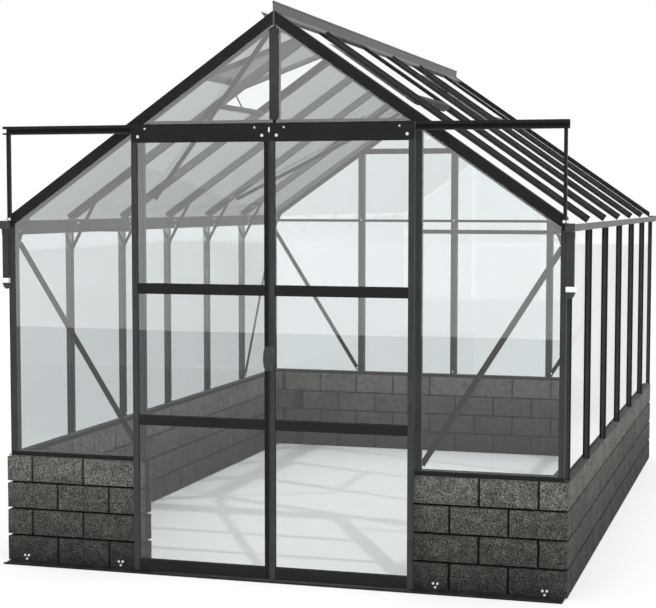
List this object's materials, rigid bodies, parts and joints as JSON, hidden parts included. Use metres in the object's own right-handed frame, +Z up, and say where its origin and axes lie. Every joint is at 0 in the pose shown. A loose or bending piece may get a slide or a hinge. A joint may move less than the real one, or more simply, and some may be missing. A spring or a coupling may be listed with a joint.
{
  "type": "glass greenhouse",
  "caption": "Gabled glass greenhouse on a dwarf wall of blocks, with double sliding doors, roof vents, gutters and downpipes.",
  "frame": {"origin": "on the ground, at the middle of the whole outline seen from above", "axes": "+X to the right across the door front, +Y from the door front towards the back, +Z up"},
  "size_m": [3.074, 4.584, 2.9531],
  "materials": {
    "frame": "satin",
    "gutter_grey": "satin",
    "wall_block": "matte",
    "glass": "gloss",
    "white_plastic": "matte",
    "black_plastic": "satin"
  },
  "bodies": {
    "house": {"back_wall": "wall_block", "back_wall_bars": "frame", "back_wall_glass": "glass", "corner_gussets": "frame", "corner_posts": "frame", "cross_bars": "frame", "door_guide_rail": "frame", "door_jambs": "frame", "door_track": "frame", "downpipe_collars": "white_plastic", "downpipe_spouts": "black_plastic", "downpipes": "frame", "eave_beams": "frame", "front_gable_bar": "frame", "front_wall_glass": "glass", "front_walls": "wall_block", "gable_beams": "frame", "gable_rafters": "frame", "gutter_end_caps": "black_plastic", "gutters": "gutter_grey", "knee_struts": "frame", "ridge_beam": "frame", "roof_bars": "frame", "roof_braces": "frame", "roof_glass": "glass", "side_wall_bars": "frame", "side_wall_glass": "glass", "side_walls": "wall_block", "sill_rails": "frame", "track_straps": "frame", "vent_frames": "frame", "vent_glass": "glass", "vent_sill_bars": "frame", "vent_stays": "frame", "wall_braces": "frame"},
    "left_door": {"left_door_glass": "glass", "left_door_handle": "black_plastic", "left_door_header": "frame", "left_door_rails": "frame", "left_door_rollers": "white_plastic", "left_door_stiles": "frame"},
    "right_door": {"right_door_glass": "glass", "right_door_handle": "black_plastic", "right_door_header": "frame", "right_door_rails": "frame", "right_door_rollers": "white_plastic", "right_door_stiles": "frame"}
  },
  "joints": [
    {"name": "left_door_slide", "type": "slide", "parent": "house", "child": "left_door", "axis": [-1, 0, 0], "range_m": [0, 0.7]},
    {"name": "right_door_slide", "type": "slide", "parent": "house", "child": "right_door", "axis": [1, 0, 0], "range_m": [0, 0.7]}
  ]
}
